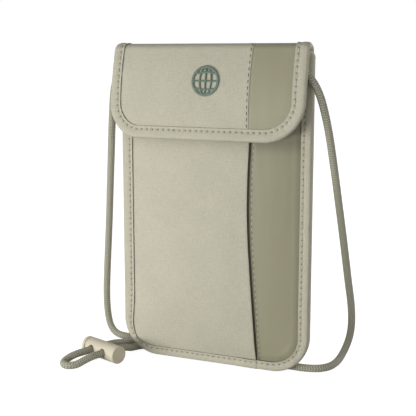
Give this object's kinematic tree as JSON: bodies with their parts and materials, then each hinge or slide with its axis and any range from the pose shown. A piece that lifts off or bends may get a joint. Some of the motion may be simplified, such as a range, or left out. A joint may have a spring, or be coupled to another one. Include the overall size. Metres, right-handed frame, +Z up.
{
  "type": "neck pouch wallet",
  "caption": "Flat upright neck pouch with a bound edge, hinged front flap, side-entry slip pocket, braided neck cord and sprung cord lock.",
  "frame": {"origin": "middle of the flat bottom edge, on the mid-plane of the bound seam, where the pouch stands", "axes": "+Z up along the pouch's height, +Y through its thickness to the back, +X across its width"},
  "size_m": [0.1741, 0.1259, 0.1995],
  "materials": {
    "light_fabric": "woven heather, matte",
    "smooth_fabric": "coated, satin",
    "binding_tape": "woven tape, matte",
    "lining": "plain woven lining",
    "foam": "padding, matte",
    "blocking_film": "metallised film",
    "hook_and_loop": "hook and loop pile",
    "emblem_rubber": "moulded soft badge",
    "braided_cord": "braided, matte",
    "lock_plastic": "moulded, matte",
    "spring_steel": "bare wire"
  },
  "bodies": {
    "pouch": {"back_panel": "light_fabric", "back_foam": "foam", "blocking_film": "blocking_film", "back_lining": "lining", "divider_panel": "lining", "front_lining": "lining", "front_foam": "foam", "front_panel_smooth": "smooth_fabric", "slip_pocket_lining": "lining", "slip_pocket_panel": "light_fabric", "mouth_hem": "binding_tape", "body_binding": "binding_tape", "loop_patch": "hook_and_loop", "cord_tab_left": "binding_tape", "cord_tab_right": "binding_tape", "cord_sleeve_left": "lock_plastic", "cord_sleeve_right": "lock_plastic", "cord_left": "braided_cord", "cord_right": "braided_cord", "cord_coil": "braided_cord", "cord_tie": "hook_and_loop"},
    "fold": {"fold_strip": "light_fabric", "fold_side_strip": "smooth_fabric", "fold_lining": "lining"},
    "flap": {"flap_panel": "light_fabric", "flap_side_panel": "smooth_fabric", "flap_foam": "foam", "flap_lining": "lining", "flap_binding": "binding_tape", "hook_patch": "hook_and_loop", "emblem": "emblem_rubber"},
    "lock": {"lock_barrel": "lock_plastic", "lock_spring": "spring_steel"},
    "plunger": {"lock_plunger": "lock_plastic"}
  },
  "joints": [
    {"name": "flap_fold", "type": "hinge", "parent": "pouch", "child": "fold", "pos_m": [0, 0.003, 0.1969], "axis": [-1, 0, 0], "range_deg": [0, 120]},
    {"name": "flap_hinge", "type": "hinge", "parent": "fold", "child": "flap", "pos_m": [0, -0.0099, 0.1964], "axis": [-1, 0, 0], "range_deg": [0, 120]},
    {"name": "lock_slide", "type": "slide", "parent": "pouch", "child": "lock", "axis": [0.3582, 0.9337, 0], "range_m": [-0.008, 0.006]},
    {"name": "plunger_press", "type": "slide", "parent": "lock", "child": "plunger", "axis": [0.9337, -0.3582, 0], "range_m": [0, 0.0008], "stiffness_N_per_m": 300, "springref_m": -0.003}
  ],
  "couplings": [
    {"joint": "flap_hinge", "follows": "flap_fold", "ratio": 1}
  ]
}
